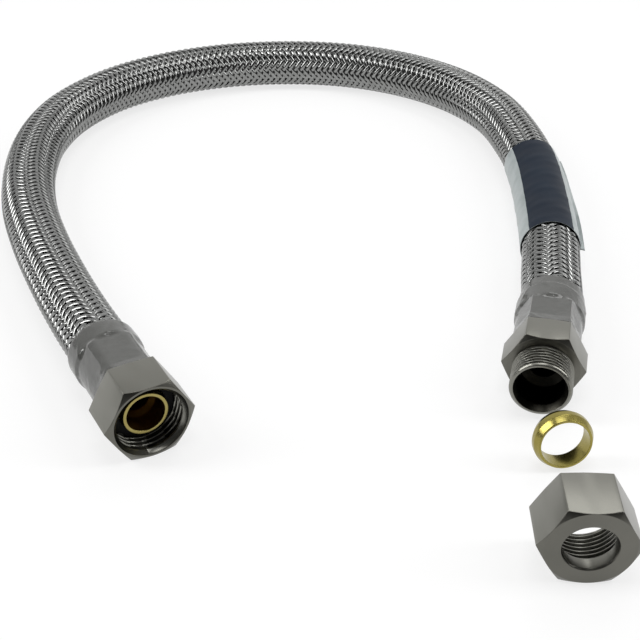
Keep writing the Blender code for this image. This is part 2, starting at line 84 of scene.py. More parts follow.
CLOUD_TINT = (0.32, 0.68)
CLOUD_POLISH = (0.3, 0.7)
RELIEF_DEPTH = 0.0002


def heading_vector(heading):
    """Level direction of an open mouth, in degrees from -Y towards +X."""
    angle = math.radians(heading)
    return np.array([math.sin(angle), -math.cos(angle), 0.0])


def hose_line():
    """Dense centreline through both fittings, in mm, as the hose lies."""
    swivel_out = heading_vector(SWIVEL_HEADING)
    male_out = heading_vector(MALE_HEADING)
    swivel = np.array([*SWIVEL_MOUTH, SWIVEL_HEIGHT])
    male = np.array([*MALE_HEX_FACE, MALE_HEIGHT])
    points = [swivel - swivel_out * depth for depth in SWIVEL_RUN]
    points += [np.array(point) for point in ROUTE]
    points += [male - male_out * depth for depth in MALE_RUN]
    slopes = [-swivel_out * np.linalg.norm(points[1] - points[0])]
    slopes += [(after - before) / 2 for before, after in zip(points, points[2:])]
    slopes.append(male_out * np.linalg.norm(points[-1] - points[-2]))
    share = np.arange(LINE_STEPS)[:, None] / LINE_STEPS
    line = []
    for i in range(len(points) - 1):
        square, cube = share ** 2, share ** 3
        line.append(
            points[i] * (2 * cube - 3 * square + 1)
            + slopes[i] * (cube - 2 * square + share)
            + points[i + 1] * (3 * square - 2 * cube)
            + slopes[i + 1] * (cube - square)
        )
    return np.vstack(line + [points[-1]])


centreline = hose_line()
travel = np.concatenate([[0.0], np.cumsum(np.linalg.norm(np.diff(centreline, axis=0), axis=1))])
hose_length = travel[-1]
tangents = np.gradient(centreline, travel, axis=0)
tangents /= np.linalg.norm(tangents, axis=1)[:, None]


def on_hose(along, angle, radius):
    """Points in metres at a distance along the hose, an angle from its top and a radius, in mm."""
    middle = np.stack([np.interp(along, travel, centreline[:, k]) for k in range(3)], axis=-1)
    ahead = np.stack([np.interp(along, travel, tangents[:, k]) for k in range(3)], axis=-1)
    side = np.cross(ahead, [0.0, 0.0, 1.0])
    side /= np.linalg.norm(side, axis=-1)[..., None]
    top = np.cross(side, ahead)
    away = np.cos(angle)[..., None] * top + np.sin(angle)[..., None] * side
    return (middle + radius[..., None] * away) * MM


def squeeze(along):
    """How much smaller the hose is here, in mm, inside the two ferrules."""
    from_end = np.minimum(along, hose_length - along)
    return SQUEEZE * (1 - np.clip((from_end - SQUEEZED_RUN) / (SQUEEZE_END - SQUEEZED_RUN), 0, 1))


def build(name, points, faces, materials, place=None):
    """Mesh object from points and faces, smooth, with its real corners kept crisp."""
    mesh = bpy.data.meshes.new(name)
    faces = faces if isinstance(faces, list) else faces.tolist()
    mesh.from_pydata(np.asarray(points).reshape(-1, 3).tolist(), [], faces)
    for material in materials:
        mesh.materials.append(material)
    shell = bmesh.new()
    shell.from_mesh(mesh)
    bmesh.ops.recalc_face_normals(shell, faces=shell.faces)
    shell.to_mesh(mesh)
    shell.free()
    mesh.shade_smooth()
    mesh.set_sharp_from_angle(angle=CRISP_ANGLE)
    piece = bpy.data.objects.new(name, mesh)
    bpy.context.scene.collection.objects.link(piece)
    if place:
        piece.matrix_world = place
    return piece


def grid_faces(rows, columns, close_rows=True):
    """Quads over rows of points, each row a closed ring, the last row joined to the first if asked."""
    index = np.arange(rows * columns).reshape(rows, columns)
    below = np.roll(index, -1, axis=0) if close_rows else index[1:]
    above = index if close_rows else index[:-1]
    quads = np.stack([above, below, np.roll(below, -1, axis=1), np.roll(above, -1, axis=1)], axis=-1)
    return quads.reshape(-1, 4)


def noise(nodes, scale, detail):
    """Noise of this scale, still to be given its place."""
    texture = nodes.new("ShaderNodeTexNoise")
    texture.inputs["Scale"].default_value = scale
    texture.inputs["Detail"].default_value = detail
    return texture


def finish(name, dark, light, grain, metallic, rough, relief, relief_grain, alpha=1.0, stretch=None,
           gloss=0.5):
    """Finish whose colour and roughness follow one noise, and whose fine relief follows another."""
    material = bpy.data.materials.new(name)
    material.use_nodes = True
    nodes, links = material.node_tree.nodes, material.node_tree.links
    shader = nodes["Principled BSDF"]
    shader.inputs["Metallic"].default_value = metallic
    shader.inputs["Alpha"].default_value = alpha
    shader.inputs["Specular IOR Level"].default_value = gloss
    where = nodes.new("ShaderNodeTexCoord").outputs["Object"]
    cloud = noise(nodes, grain, 4.0)
    links.new(where, cloud.inputs["Vector"])
    tint = nodes.new("ShaderNodeValToRGB")
    for stop, position, colour in zip(tint.color_ramp.elements, CLOUD_TINT, (dark, light)):
        stop.position = position
        stop.color = (*colour, 1.0)
    links.new(cloud.outputs["Fac"], tint.inputs["Fac"])
    links.new(tint.outputs["Color"], shader.inputs["Base Color"])
    polish = nodes.new("ShaderNodeMapRange")
    for socket, value in zip(("From Min", "From Max", "To Min", "To Max"), (*CLOUD_POLISH, *rough)):
        polish.inputs[socket].default_value = value
    links.new(cloud.outputs["Fac"], polish.inputs["Value"])
    links.new(polish.outputs["Result"], shader.inputs["Roughness"])
    skin = noise(nodes, relief_grain, 3.0)
    if stretch:
        turned = nodes.new("ShaderNodeVectorMath")
        turned.operation = "MULTIPLY"
        turned.inputs[1].default_value = stretch
        links.new(where, turned.inputs[0])
        links.new(turned.outputs["Vector"], skin.inputs["Vector"])
    else:
        links.new(where, skin.inputs["Vector"])
    bump = nodes.new("ShaderNodeBump")
    bump.inputs["Strength"].default_value = relief
    bump.inputs["Distance"].default_value = RELIEF_DEPTH
    links.new(skin.outputs["Fac"], bump.inputs["Height"])
    links.new(bump.outputs["Normal"], shader.inputs["Normal"])
    return material


inner_rubber = finish(
    "inner_rubber", dark=(0.012, 0.012, 0.012), light=(0.028, 0.027, 0.026), grain=300,
    metallic=0.0, rough=(0.5, 0.7), relief=0.3, relief_grain=2500,
)
tube_along = np.linspace(0.0, hose_length, TUBE_RINGS)
tube_ring = np.linspace(0.0, math.tau, TUBE_SIDES, endpoint=False)
tube_along, tube_ring = np.meshgrid(tube_along, tube_ring, indexing="ij")
tube_squeeze = squeeze(tube_along)
tube_skin = on_hose(tube_along, tube_ring, TUBE_OUTER - tube_squeeze)
tube_bore = on_hose(tube_along[::-1], tube_ring, TUBE_INNER - tube_squeeze[::-1])
tube_faces = grid_faces(2 * TUBE_RINGS, TUBE_SIDES)
inner_tube = build("rubber_tube", np.vstack([tube_skin, tube_bore]), tube_faces, [inner_rubber])
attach(inner_tube, "hose")
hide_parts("inner_tube")

# Braid: 28 bundles of fine stainless wire plaited round the tube, 14 wound each way, every bundle passing
# over two others and under two. The two lays are separate pieces, held only by the ferrules at the ends.
BUNDLES = 14
LEAD = 37.5
BUNDLE_WIDTH = 1.42
BRAID_TOP = 9.3
BRAID_DIVE = 0.5
WIRES = 3
WIRE_GROOVE = 0.02
BUNDLE_CROWN = 0.28
BUNDLE_THICKNESS = 0.3
TWIST_PLACES = (0.0, 110.0, 300.0, 528.0)
TWIST_DEGREES = (9.0, 8.1, -10.0, -6.0)
POINTS_A_CROSSING = 2
DIVE_SHARPNESS = 0.72
SLACK = 0.035
SLACK_STEP = 5
RIGHT_SEED, LEFT_SEED = 7, 11


def plait(name, lay, material):
    """All bundles wound one way, each a flat ribbon of wires that dives under two and rises over two."""
    spacing = LEAD / (2 * BUNDLES)
    samples = int(hose_length / LEAD * 2 * BUNDLES * POINTS_A_CROSSING)
    crossing = np.arange(samples + 1) / POINTS_A_CROSSING
    slant = math.atan2(math.tau * BRAID_TOP, LEAD)
    across = [-BUNDLE_WIDTH / 2]
    height = [-BUNDLE_THICKNESS]
    for i in range(2 * WIRES - 1):
        across.append(BUNDLE_WIDTH * ((i + 1) / (2 * WIRES) - 0.5))
        crown = -BUNDLE_CROWN * (2 * across[-1] / BUNDLE_WIDTH) ** 2
        height.append(crown - (WIRE_GROOVE if i % 2 else 0.0))
    across.append(BUNDLE_WIDTH / 2)
    height.append(-BUNDLE_THICKNESS)
    across, height = np.array(across), np.array(height)
    chance = np.random.default_rng(RIGHT_SEED if lay > 0 else LEFT_SEED)
    slack_places = np.arange(0, samples, SLACK_STEP)
    first_over = 0.5 if lay > 0 else 2.5
    columns = len(across)
    points, faces = [], []
    for bundle in range(BUNDLES):
        turn_index = lay * crossing + 2 * bundle
        over = np.clip(0.5 + DIVE_SHARPNESS * np.cos((turn_index - first_over) * math.pi / 2), 0, 1)
        slack = np.interp(crossing, slack_places, chance.normal(0, SLACK, len(slack_places)))
        along = crossing[:, None] * spacing - lay * across * math.sin(slant) + slack[:, None]
        along = np.clip(along, 0.0, hose_length)
        twist = np.radians(np.interp(along, TWIST_PLACES, TWIST_DEGREES))
        angle = turn_index[:, None] * math.tau / (2 * BUNDLES) + across * math.cos(slant) / BRAID_TOP + twist
        radius = BRAID_TOP - BRAID_DIVE * (1 - over[:, None]) + height - squeeze(along)
        first = bundle * len(crossing) * columns
        points.append(on_hose(along, angle, radius).reshape(-1, 3))
        ribbon = grid_faces(len(crossing), columns, close_rows=False) + first
        faces += ribbon.tolist()
        faces.append(list(range(first, first + columns)))
        faces.append([first + samples * columns + k for k in reversed(range(columns))])
    return build(name, np.vstack(points), faces, [material])


braid_wire = finish(
    "braid_wire", dark=(0.22, 0.223, 0.218), light=(0.3, 0.303, 0.297), grain=900,
    metallic=1.0, rough=(0.14, 0.22), relief=0.06, relief_grain=4000,
)
right_lay = plait("braid_right_lay", 1, braid_wire)
left_lay = plait("braid_left_lay", -1, braid_wire)
for piece in (right_lay, left_lay):
    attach(piece, "hose")
    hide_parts("braid_sleeve")

# Label: a strip of printed film laid once round the braid, its two ends stuck together as a narrow flag
# on the outer side of the bend. The printed panel is dark blue and the rest is bare silver film.
LABEL_START = 451.0
LABEL_LENGTH = 61.0
LABEL_RADIUS = 9.7
LABEL_THICKNESS = 0.15
FLAG_REACH = 1.4
FLAG_HALF = 0.19
FLAG_ROOT = 0.35
FLAG_WAVE = 0.5
PRINT_EDGES = (math.radians(-45.0), math.radians(50.0))
RIPPLES = ((0.07, 0.55, 2.0), (0.05, 1.3, -3.0))
RIPPLE_RANGE = (-0.02, 0.12)
WRAP_POINTS = 81
FLAG_POINTS = 6
LABEL_RINGS = 46

label_silver = finish(
    "label_silver", dark=(0.3, 0.34, 0.34), light=(0.42, 0.46, 0.46), grain=150,
    metallic=0.0, rough=(0.3, 0.45), relief=0.2, relief_grain=700,
)
label_print = finish(
    "label_print", dark=(0.008, 0.014, 0.026), light=(0.011, 0.019, 0.033), grain=120,
    metallic=0.0, rough=(0.4, 0.5), relief=0.1, relief_grain=900, gloss=0.1,
)
flag_side = -math.pi / 2
root = FLAG_HALF / LABEL_RADIUS
wrap_angles = np.linspace(root, math.tau - root, WRAP_POINTS)
flag_out = np.linspace(FLAG_REACH, FLAG_ROOT, FLAG_POINTS)
flag_rise = np.full(FLAG_POINTS, FLAG_HALF)
label_reach = np.concatenate([flag_out, np.zeros(WRAP_POINTS), flag_out[::-1]])
label_rise = np.concatenate([flag_rise, np.zeros(WRAP_POINTS), -flag_rise])
bore_angles = np.linspace(0.2 * root, root, FLAG_POINTS + 1)[:FLAG_POINTS]
label_bore = np.concatenate([bore_angles, wrap_angles, math.tau - bore_angles[::-1]])
label_along = np.linspace(LABEL_START, LABEL_START + LABEL_LENGTH, LABEL_RINGS)
along, bore = np.meshgrid(label_along, label_bore, indexing="ij")
reach = np.broadcast_to(label_reach, along.shape)
rise = np.broadcast_to(label_rise, along.shape)
outline = np.where(reach > 0, 0.0, bore)
ripple = sum(size * np.sin(ahead * along + around * bore) for size, ahead, around in RIPPLES)
ripple = np.where(reach > 0, 0.0, np.clip(ripple, *RIPPLE_RANGE))
label_skin = on_hose(along, flag_side + outline, LABEL_RADIUS + reach + ripple)
label_skin[..., 2] += (rise + FLAG_WAVE * np.sin(0.13 * along) * (reach / FLAG_REACH) ** 2) * MM
label_back = on_hose(along, flag_side + bore, LABEL_RADIUS - LABEL_THICKNESS + ripple)
label = build(
    "printed_label",
    np.vstack([label_skin, label_back[::-1]]),
    grid_faces(2 * LABEL_RINGS, len(label_bore)),
    [label_silver, label_print],
)
from_top = (wrap_angles + flag_side + math.pi) % math.tau - math.pi
printed = (from_top[:-1] > PRINT_EDGES[0]) & (from_top[1:] < PRINT_EDGES[1])
for polygon in label.data.polygons:
    ring = [v % len(label_bore) for v in polygon.vertices]
    side = min(ring) - FLAG_POINTS
    outside = max(polygon.vertices) < LABEL_RINGS * len(label_bore)
    on_wrap = max(ring) - min(ring) == 1 and 0 <= side < WRAP_POINTS - 1
    if outside and on_wrap and printed[side]:
        polygon.material_index = 1
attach(label, "hose")
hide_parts("label_wrap")

# Swivel stem: one piece of brass turned on a lathe. Its thin nose stands in the nut's mouth, its flange is
# what the nut pulls on, and its barb is crimped into the hose out of sight. It doesn't turn with the nut.
NOSE_RADIUS = 6.4
NOSE_BORE = 5.4
NOSE_END = -4.1
WATERWAY = 3.9
FLANGE_FRONT = -9.3
FLANGE_BACK = -11.2
FLANGE_RADIUS = 9.1
NECK_RADIUS = 6.0
SWIVEL_FERRULE = 18.8
BARB_RADIUS = 5.0
BARB_LENGTH = 16.5
BARB_TEETH = 4
TOOTH_DEPTH = 0.4
TOOTH_RAMP = 1.7
FERRULE_SEAT = 0.3
ROUND_SIDES = 120
ARC_SHARES = (0.0, 0.33, 0.67, 1.0)


def end_place(spot, height, heading, lean=0.0):
    """Place at a spot in mm, its +Z out of a mouth and its +X up, leaning back if asked."""
    level = Vector(heading_vector(heading))
    upright = Vector((0.0, 0.0, 1.0))
    outward = math.cos(lean) * level + math.sin(lean) * upright
    upward = math.cos(lean) * upright - math.sin(lean) * level
    place = Matrix((upward, outward.cross(upward), outward)).transposed().to_4x4()
    place.translation = Vector((spot[0], spot[1], height)) * MM
    return place


def round_corners(profile, angles):
    """Rows of (radius, depth) round a closed profile, each corner that has a cut turned into an arc."""
    level = np.zeros(len(angles))
    corners = [(np.array([radius + level, depth + level]), cut) for radius, depth, cut in profile]
    rows = []
    for i, (corner, cut) in enumerate(corners):
        if not cut:
            rows.append(corner)
            continue
        back = corners[i - 1][0] - corner
        ahead = corners[(i + 1) % len(corners)][0] - corner
        back_length = np.sqrt((back ** 2).sum(axis=0))
        ahead_length = np.sqrt((ahead ** 2).sum(axis=0))
        before = corner + back / back_length * np.minimum(cut, 0.45 * back_length)
        after = corner + ahead / ahead_length * np.minimum(cut, 0.45 * ahead_length)
        for share in ARC_SHARES:
            near, far = (1 - share) ** 2, share ** 2
            rows.append(near * before + 2 * share * (1 - share) * corner + far * after)
    return rows


def revolve(name, profile, angles, materials, place):
    """Closed body from a profile that runs down the outside and back up the bore, turned about +Z."""
    rows = round_corners(profile, angles)
    points = []
    for radius, depth in rows:
        points.append(np.stack([radius * np.cos(angles), radius * np.sin(angles), depth], axis=-1))
    return build(name, np.array(points) * MM, grid_faces(len(rows), len(angles)), materials, place)


def barb(first):
    """Saw-tooth outside of a barb, from its root down to its tip."""
    teeth = []
    for i in range(BARB_TEETH):
        foot = first - (i + 0.8) * BARB_LENGTH / (BARB_TEETH + 1)
        teeth += [(BARB_RADIUS, foot, 0.08), (BARB_RADIUS - TOOTH_DEPTH, foot - 0.15, 0.05)]
        teeth += [(BARB_RADIUS - TOOTH_DEPTH, foot - 0.5, 0), (BARB_RADIUS, foot - TOOTH_RAMP, 0.1)]
    tip = first - BARB_LENGTH
    return teeth + [(BARB_RADIUS, tip + 1.5, 0.2), (BARB_RADIUS - 2 * TOOTH_DEPTH, tip, 0.1)]


def paint_shade(piece, inner, outer, bottom, top, which=1):
    """Give another of the piece's materials, one with painted shade, to its faces between two radii and two
    heights, in mm.
    """
    for polygon in piece.data.polygons:
        spots = [piece.data.vertices[v].co / MM for v in polygon.vertices]
        middle = sum(spots, Vector()) / len(spots)
        if inner < middle.xy.length < outer and bottom < middle.z < top:
            polygon.material_index = which


round_angles = np.linspace(0.0, math.tau, ROUND_SIDES, endpoint=False)
swivel_place = end_place(SWIVEL_MOUTH, SWIVEL_HEIGHT, SWIVEL_HEADING)
turned_brass = finish(
    "turned_brass", dark=(0.3, 0.25, 0.085), light=(0.38, 0.32, 0.12), grain=260,
    metallic=1.0, rough=(0.24, 0.36), relief=0.15, relief_grain=500,
    stretch=(0.05, 0.05, 6.0),
)
# Darker brass for the stem's bore: painted shade down the hole.
painted_shade_brass = finish(
    "painted_shade_brass", dark=(0.1, 0.05, 0.008), light=(0.16, 0.088, 0.016), grain=260,
    metallic=1.0, rough=(0.4, 0.55), relief=0.15, relief_grain=500,
)
stem_root = FERRULE_SEAT - SWIVEL_FERRULE
stem_profile = [
    (NOSE_RADIUS, NOSE_END, 0.2),
    (NOSE_RADIUS, FLANGE_FRONT, 0),
    (FLANGE_RADIUS, FLANGE_FRONT, 0.15),
    (FLANGE_RADIUS, FLANGE_BACK, 0.15),
    (NECK_RADIUS, FLANGE_BACK, 0),
    (NECK_RADIUS, stem_root, 0.2),
    (BARB_RADIUS, stem_root, 0),
    *barb(stem_root),
    (WATERWAY, stem_root - BARB_LENGTH, 0.15),
    (WATERWAY, FLANGE_BACK - 0.6, 0.1),
    (NOSE_BORE - 0.2, FLANGE_BACK + 0.6, 0.1),
    (NOSE_BORE, FLANGE_BACK + 0.9, 0),
    (NOSE_BORE, NOSE_END, 0.2),
]
stem = revolve("turned_stem", stem_profile, round_angles, [turned_brass, painted_shade_brass], swivel_place)
# The nose's bore gets the darker brass, painted shade inside the hole.
paint_shade(stem, inner=0.0, outer=NOSE_BORE + 0.1, bottom=-99.0, top=NOSE_END - 0.4)
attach(stem, "hose")
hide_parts("swivel_stem")

# Seat washer: flat ring of black rubber, moulded, pushed over the nose down to the flange, where the
# faucet's shank presses on it.
WASHER_INNER = 6.65
WASHER_OUTER = 9.1
WASHER_FRONT = -6.85
WASHER_BACK = -9.05

washer_black = finish(
    "washer_black", dark=(0.005, 0.005, 0.005), light=(0.01, 0.01, 0.01), grain=300,
    metallic=0.0, rough=(0.6, 0.75), relief=0.3, relief_grain=1500, gloss=0.25,
)
washer_profile = [
    (WASHER_OUTER, WASHER_FRONT, 0.25),
    (WASHER_OUTER, WASHER_BACK, 0.25),
    (WASHER_INNER, WASHER_BACK, 0.2),
    (WASHER_INNER, WASHER_FRONT, 0.2),
]
washer = revolve("rubber_washer", washer_profile, round_angles, [washer_black], swivel_place)
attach(washer, "hose")
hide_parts("seat_washer")

# Swivel nut: hexagonal brass bar, drilled, threaded inside and turned down to a round collar at the back,
# then nickel plated; painted shade makes it near black down in the thread and darker on its turned face.
# It is slipped on the stem before crimping and turns freely on it.
SWIVEL_FLATS = 22.2
SWIVEL_HEX_END = -13.1
SWIVEL_END = -17.6
SWIVEL_COLLAR = 8.4
SWIVEL_MINOR = 9.45
SWIVEL_MAJOR = 10.3
SWIVEL_PITCH = 1.814
SWIVEL_THREAD = (-1.3, -10.9)
SWIVEL_MOUTH_RADIUS = 10.45
SWIVEL_SHOULDER = -11.45
NUT_CLEARANCE = 0.35
HEX_EDGE = 0.35
FLAT_POINTS = 18
ROWS_A_TURN = 12
CREST_SLOPE = 1.9
CREST_WIDTH = 0.45
FRONT_SLOPE = 0.62
BACK_SLOPE = 0.15
FACE_INSET = 0.06


def hexagon(flats):
    """Angles that crowd at the six edges, and the hexagon's radius at each, its edges rounded."""
    inner = (flats / 2 - HEX_EDGE) / math.cos(math.pi / 6)
    half = math.atan2(HEX_EDGE * 0.5, inner + HEX_EDGE * math.cos(math.pi / 6))
    near_edge = np.array([-half, -half / 2, 0.0, half / 2])
    between = np.linspace(half, math.pi / 3 - half, FLAT_POINTS)[:-1]
    sector = np.concatenate([near_edge, between])
    radius = []
    for delta in sector:
        if delta < half:
            across = inner * math.sin(delta)
            radius.append(inner * math.cos(delta) + math.sqrt(HEX_EDGE ** 2 - across ** 2))
        else:
            radius.append(flats / 2 / math.cos(math.pi / 6 - delta))
    angles = np.concatenate([sector + math.pi / 6 + k * math.pi / 3 for k in range(6)])
    return angles, np.tile(radius, 6)


def hex_ends(radius, flats, front, back):
    """Corners of the hexagon's outside: its front turned off at an angle, its back hardly at all."""
    circle = flats / 2 - FACE_INSET
    front_cut = front - (radius - circle) * FRONT_SLOPE
    back_cut = back + (radius - circle) * BACK_SLOPE
    return [
        (circle, front, 0.08),
        (radius, front_cut, 0.16),
        (radius, back_cut, 0.1),
        (circle, back, 0.08),
    ]


def thread(angles, top, bottom, pitch, outer, inner, run_out=0.8):
    """Rows down a screw thread between two radii, which fades out at both ends."""
    count = int(round((top - bottom) / pitch * ROWS_A_TURN))
    rows = []
    for depth in np.linspace(top, bottom, count):
        phase = (depth / pitch + angles / math.tau) % 1.0
        wave = np.clip(CREST_SLOPE * np.abs(phase - 0.5) * 2 - CREST_WIDTH, 0, 1)
        wave = wave * wave * (3 - 2 * wave)
        fade = min(1.0, (top - depth) / run_out, (depth - bottom) / run_out)
        rows.append((outer + (inner - outer) * wave * max(fade, 0.0), depth, 0))
    return rows


nickel = finish(
    "nickel_plate", dark=(0.2, 0.198, 0.176), light=(0.225, 0.222, 0.198), grain=60,
    metallic=1.0, rough=(0.27, 0.33), relief=0.05, relief_grain=900,
)
# Near-black nickel: painted shade for thread roots and bores.
painted_shade_nickel = finish(
    "painted_shade_nickel", dark=(0.025, 0.024, 0.02), light=(0.04, 0.038, 0.031), grain=200,
    metallic=1.0, rough=(0.3, 0.42), relief=0.05, relief_grain=900,
)
# Darker nickel for the front faces: painted shade, not a different finish.
painted_front_shade_nickel = finish(
    "painted_front_shade_nickel", dark=(0.13, 0.128, 0.112), light=(0.155, 0.152, 0.134), grain=60,
    metallic=1.0, rough=(0.3, 0.36), relief=0.05, relief_grain=900,
)
hex_angles, hex_radius = hexagon(SWIVEL_FLATS)
swivel_profile = [
    *hex_ends(hex_radius, SWIVEL_FLATS, 0.0, SWIVEL_HEX_END),
    (SWIVEL_COLLAR, SWIVEL_HEX_END, 0.1),
    (SWIVEL_COLLAR, SWIVEL_END, 0.4),
    (NECK_RADIUS + NUT_CLEARANCE, SWIVEL_END, 0.2),
    (NECK_RADIUS + NUT_CLEARANCE, SWIVEL_SHOULDER, 0.1),
    (SWIVEL_MINOR, SWIVEL_SHOULDER, 0.1),
    *thread(hex_angles, *SWIVEL_THREAD, SWIVEL_PITCH, SWIVEL_MINOR, SWIVEL_MAJOR)[::-1],
    (SWIVEL_MOUTH_RADIUS, -0.2, 0),
    (SWIVEL_MOUTH_RADIUS, 0.0, 0.05),
]
# Nickel, then two painted shades of it: near black for recesses, darker for front faces.
nickel_and_painted_shades = [nickel, painted_shade_nickel, painted_front_shade_nickel]
swivel_nut = revolve("plated_swivel_nut", swivel_profile, hex_angles, nickel_and_painted_shades, swivel_place)
# Painted shade: near-black nickel down in the thread.
paint_shade(swivel_nut, inner=9.75, outer=SWIVEL_MAJOR + 0.1, bottom=-11.3, top=-1.2)
# Painted shade: darker nickel on the nut's front face.
paint_shade(swivel_nut, inner=SWIVEL_MAJOR, outer=20.0, bottom=-1.2, top=0.1, which=2)
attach(swivel_nut, "swivel_nut")
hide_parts("swivel_nut")

# Ferrules: cups drawn from thin stainless sheet, pushed over the braid's ends and crimped on the barbs.
# The front part is squeezed by the dies and the back part keeps its round swell over the braid.
CRIMP_LENGTH = 8.0
FLARE_LENGTH = 3.5
FERRULE_LENGTH = 17.8
FERRULE_NECK = 8.75
FERRULE_RADIUS = 9.9
FERRULE_WALL = 0.35
FERRULE_HOLE = 5.35
FERRULE_FLANGE = 0.5
DIE_MARK = 0.07
DIE_COUNT = 8
MALE_FERRULE = 11.9

ferrule_steel = finish(
    "ferrule_steel", dark=(0.16, 0.16, 0.15), light=(0.24, 0.24, 0.225), grain=180,
    metallic=1.0, rough=(0.28, 0.45), relief=0.3, relief_grain=500,
)
male_place = end_place(MALE_HEX_FACE, MALE_HEIGHT, MALE_HEADING)


def ferrule_profile(depth, angles):
    """Cup with the marks of the crimping dies round its neck."""
    front = -depth
    crimped = front - CRIMP_LENGTH
    flared = crimped - FLARE_LENGTH
    back = front - FERRULE_LENGTH
    neck = FERRULE_NECK - DIE_MARK * (0.5 + 0.5 * np.cos(DIE_COUNT * angles))
    swell = FERRULE_RADIUS - FERRULE_NECK
    return [
        (FERRULE_HOLE, front, 0),
        (FERRULE_NECK - 0.5, front, 0.1),
        (FERRULE_NECK, front - 0.5, 0.2),
        (neck, front - 2.0, 0.4),
        (neck, crimped + 0.6, 0.4),
        (FERRULE_NECK + 0.25 * swell, crimped - 0.4 * FLARE_LENGTH, 0.8),
        (FERRULE_RADIUS, flared, 0.8),
        (FERRULE_RADIUS, back + 0.8, 0.3),
        (FERRULE_RADIUS - 0.1, back, 0.08),
        (FERRULE_RADIUS - FERRULE_WALL, back, 0.08),
        (FERRULE_RADIUS - FERRULE_WALL, flared - 0.1, 0),
        (FERRULE_NECK - FERRULE_WALL + 0.25 * swell, crimped - 0.4 * FLARE_LENGTH, 0),
        (FERRULE_NECK - FERRULE_WALL, crimped, 0),
        (FERRULE_NECK - FERRULE_WALL, front - FERRULE_FLANGE, 0),
        (FERRULE_HOLE, front - FERRULE_FLANGE, 0),
    ]


for name, node, depth, place in (
    ("crimped_swivel_ferrule", "swivel_ferrule", SWIVEL_FERRULE, swivel_place),
    ("crimped_male_ferrule", "male_ferrule", MALE_FERRULE, male_place),
):
    cup = revolve(name, ferrule_profile(depth, round_angles), round_angles, [ferrule_steel], place)
    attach(cup, "hose")
    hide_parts(node)

# End films: short sleeves of clear plastic shrunk with heat over each ferrule, from the back of the hexagon
# on to the braid. Each is drawn flat between the hexagon's corners, rises over the ferrule's swell in a
# shoulder and ends in a thin cuff, with small creases that shine as if wet.
FILM_WALL = 0.2
FILM_LENGTH = 24.5
FILM_TUCK = 9.75
FILM_RADIUS = 10.35
FILM_END = 9.75
SWIVEL_FILM = 13.4
MALE_FILM = 10.1
FILM_ROWS = 90
TUCK_LENGTH = 3.0
SHOULDER_START = 1.4
SHOULDER_LENGTH = 2.0
CUFF_DROP = 1.2
CREASES = 30
CREASE_LEAN = 0.9
CREASE_LENGTH = (1.0, 3.5)
CREASE_WIDTH = (0.35, 0.8)
CREASE_HEIGHT = (0.06, 0.2)
CREASE_LIMIT = 0.3
TOP_SIDE = (math.radians(40.0), math.radians(65.0))

clear_film = finish(
    "clear_film", dark=(0.09, 0.091, 0.084), light=(0.115, 0.116, 0.108), grain=150,
    metallic=0.0, rough=(0.05, 0.16), relief=0.6, relief_grain=420,
    alpha=0.8, gloss=1.0,
)


def film_profile(start, depth, flat, corner, angles, seed):
    """Thin creased sleeve, six-sided behind the hexagon and round over the ferrule."""
    flared = -depth - CRIMP_LENGTH - FLARE_LENGTH
    back = -depth - FERRULE_LENGTH
    end = -start - FILM_LENGTH
    depths = np.linspace(-start, end, FILM_ROWS)
    from_flat = (angles + math.pi / 6) % (math.pi / 3) - math.pi / 6
    tuck = np.interp(-depths, [start, start + TUCK_LENGTH], [flat, FILM_TUCK])
    from_top = np.abs((angles + math.pi) % math.tau - math.pi)
    limit = np.interp(from_top, TOP_SIDE, [corner, FILM_TUCK])
    sides = np.minimum(tuck[:, None] / np.cos(from_flat), limit)
    swell = np.interp(-depths, [-back, -back + CUFF_DROP], [FILM_RADIUS, FILM_END])
    share = np.clip((flared + SHOULDER_START - depths) / SHOULDER_LENGTH, 0, 1)
    share = (share * share * (3 - 2 * share))[:, None]
    radii = sides * (1 - share) + swell[:, None] * share
    chance = np.random.default_rng(seed)
    creases = np.zeros((len(depths), len(angles)))
    for _ in range(CREASES):
        lean = chance.uniform(-CREASE_LEAN, CREASE_LEAN)
        middle = chance.uniform(end, -start - 1.0)
        around = chance.uniform(0, math.tau)
        length = chance.uniform(*CREASE_LENGTH)
        away = (angles - around - lean * (depths[:, None] - middle) / 9.0 + math.pi) % math.tau - math.pi
        ridge = np.exp(-(away * 9.5 / chance.uniform(*CREASE_WIDTH)) ** 2)
        run = np.exp(-((depths[:, None] - middle) / length) ** 2)
        creases += chance.uniform(*CREASE_HEIGHT) * ridge * run
    radii += np.minimum(creases, CREASE_LIMIT)
    outside = [(radius, depth, 0) for radius, depth in zip(radii, depths)]
    inside = [(radius - FILM_WALL, depth, 0) for radius, depth, _ in outside[::-1]]
    return outside + inside


for name, node, start, depth, flat, corner, place, seed in (
    ("shrunk_swivel_film", "swivel_film", SWIVEL_FILM, SWIVEL_FERRULE, 10.2, 10.8, swivel_place, 3),
    ("shrunk_male_film", "male_film", MALE_FILM, MALE_FERRULE, 10.2, 11.5, male_place, 5),
):
    profile = film_profile(start, depth, flat, corner, round_angles, seed)
    film = revolve(name, profile, round_angles, [clear_film], place)
    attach(film, "hose")
    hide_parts(node)

# Male fitting: hexagonal brass bar turned down at the front to a threaded end with a tapered seat and a
# socket for the supply pipe, and at the back to a collar and a barb. Nickel plated like the nuts.
MALE_FLATS = 20.6
MALE_HEX_END = -10.0
THREAD_TOP = 8.65
THREAD_ROOT = 7.95
THREAD_PITCH = 1.27
THREAD_END = 10.0
MALE_THREAD = (9.35, 1.3)
SOCKET_RADIUS = 6.45
SEAT_RADIUS = 7.55
SEAT_BOTTOM = 7.9
SOCKET_BOTTOM = -0.5
COLLAR_RADIUS = 7.4
COLLAR_LENGTH = 1.6

